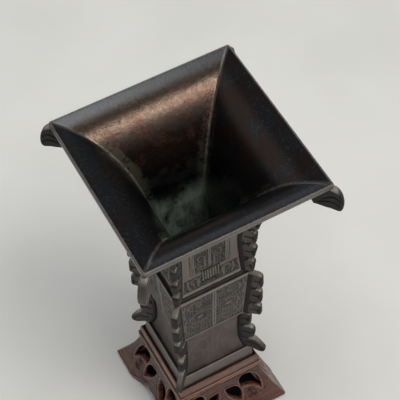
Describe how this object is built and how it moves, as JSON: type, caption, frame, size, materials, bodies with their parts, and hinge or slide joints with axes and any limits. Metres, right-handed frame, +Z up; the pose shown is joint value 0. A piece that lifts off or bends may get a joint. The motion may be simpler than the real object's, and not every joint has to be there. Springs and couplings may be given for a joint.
{
  "type": "square flared bronze vase on a wooden stand",
  "caption": "Square bronze vase with a widely flared mouth, notched corner flanges and beaks, low relief on its faces, standing in a pierced hardwood stand it lifts out of.",
  "frame": {"origin": "middle of the stand on the surface that it stands on", "axes": "+Z up along the vase, +X and +Y square to its faces, with the pictured corner towards -X and -Y"},
  "size_m": [0.11, 0.11, 0.225],
  "materials": {
    "vase_bronze": "dark brown bronze patina, worn lighter on the edges, with verdigris inside",
    "flange_bronze": "dark brown bronze patina, worn lighter on the teeth",
    "stand_wood": "polished reddish hardwood with dark grain",
    "seat_wood": "plain reddish hardwood"
  },
  "bodies": {
    "stand": {"top_rail_right": "stand_wood", "top_rail_back": "stand_wood", "top_rail_left": "stand_wood", "top_rail_front": "stand_wood", "seat_panel": "seat_wood", "apron_right": "stand_wood", "apron_back": "stand_wood", "apron_left": "stand_wood", "apron_front": "stand_wood", "corner_block_back_right": "seat_wood", "corner_block_back_left": "seat_wood", "corner_block_front_left": "seat_wood", "corner_block_front_right": "seat_wood"},
    "vase": {"mouth_section": "vase_bronze", "belly_section": "vase_bronze", "foot_section": "vase_bronze", "vase_floor": "vase_bronze", "mouth_beak_back_right": "flange_bronze", "mouth_beak_back_left": "flange_bronze", "mouth_beak_front_left": "flange_bronze", "mouth_beak_front_right": "flange_bronze", "neck_flange_back_right": "flange_bronze", "neck_flange_back_left": "flange_bronze", "neck_flange_front_left": "flange_bronze", "neck_flange_front_right": "flange_bronze", "belly_flange_back_right": "flange_bronze", "belly_flange_back_left": "flange_bronze", "belly_flange_front_left": "flange_bronze", "belly_flange_front_right": "flange_bronze", "foot_flange_back_right": "flange_bronze", "foot_flange_back_left": "flange_bronze", "foot_flange_front_left": "flange_bronze", "foot_flange_front_right": "flange_bronze"}
  },
  "joints": [
    {"name": "vase_lift", "type": "slide", "parent": "stand", "child": "vase", "axis": [0, 0, 1], "range_m": [0, 0.06]}
  ]
}
